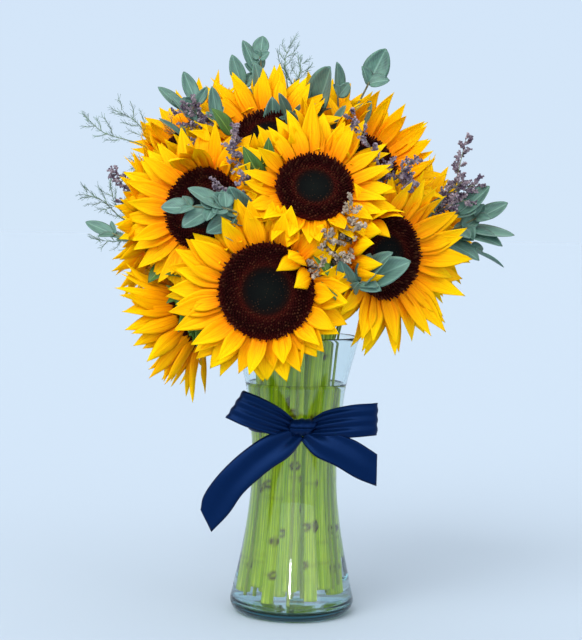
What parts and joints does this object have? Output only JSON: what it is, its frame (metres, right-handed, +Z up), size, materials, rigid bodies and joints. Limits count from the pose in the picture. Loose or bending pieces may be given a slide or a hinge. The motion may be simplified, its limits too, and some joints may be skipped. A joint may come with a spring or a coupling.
{
  "type": "sunflowers in a vase",
  "caption": "Bouquet of sunflowers, eucalyptus, sea lavender and feathery sprigs in a clear flared glass vase of water, tied with a satin ribbon bow.",
  "frame": {"origin": "middle of the vase's flat foot, on the surface it stands on", "axes": "+Z up along the vase; the front of the bouquet, with the bow, faces -Y; +X is to the right seen from the front"},
  "size_m": [0.3924, 0.2934, 0.5242],
  "materials": {
    "glass": "clear polished glass with a faint aqua tint in the thick base",
    "water": "clear still water",
    "satin": "navy satin ribbon, soft sheen",
    "stem": "fresh ribbed yellow-green stem with fine hairs",
    "florets": "dark maroon to black florets, fuzzy",
    "petal": "golden yellow petals, orange at the base, matte with fine veins",
    "eucalyptus": "grey-green waxy leaves",
    "sea_lavender": "dry papery lilac-grey flowers",
    "feathery": "fine dull green needles"
  },
  "bodies": {
    "root": {"vase": "glass", "water": "water", "ribbon": "satin", "front_stem": "stem", "front_disc": "florets", "front_petals": "petal", "middle_stem": "stem", "middle_disc": "florets", "middle_petals": "petal", "left_stem": "stem", "left_disc": "florets", "left_petals": "petal", "top_stem": "stem", "top_disc": "florets", "top_petals": "petal", "right_stem": "stem", "right_disc": "florets", "right_petals": "petal", "upper_right_stem": "stem", "upper_right_disc": "florets", "upper_right_petals": "petal", "low_left_stem": "stem", "low_left_disc": "florets", "low_left_petals": "petal", "upper_left_stem": "stem", "upper_left_disc": "florets", "upper_left_petals": "petal", "far_left_stem": "stem", "far_left_disc": "florets", "far_left_petals": "petal", "top_back_stem": "stem", "top_back_disc": "florets", "top_back_petals": "petal", "far_right_stem": "stem", "far_right_disc": "florets", "far_right_petals": "petal", "back_left_stem": "stem", "back_left_disc": "florets", "back_left_petals": "petal", "back_stem": "stem", "back_disc": "florets", "back_petals": "petal", "eucalyptus_top_left": "eucalyptus", "eucalyptus_top": "eucalyptus", "eucalyptus_top_right": "eucalyptus", "eucalyptus_upper_left": "eucalyptus", "eucalyptus_left": "eucalyptus", "eucalyptus_right": "eucalyptus", "eucalyptus_far_right": "eucalyptus", "eucalyptus_far_left": "eucalyptus", "eucalyptus_back": "eucalyptus", "sea_lavender_upper_left": "sea_lavender", "sea_lavender_left": "sea_lavender", "sea_lavender_middle": "sea_lavender", "sea_lavender_upper_right": "sea_lavender", "sea_lavender_far_right": "sea_lavender", "sea_lavender_far_left": "sea_lavender", "feathery_upper_left": "feathery", "feathery_far_left": "feathery", "feathery_top": "feathery"}
  },
  "joints": []
}
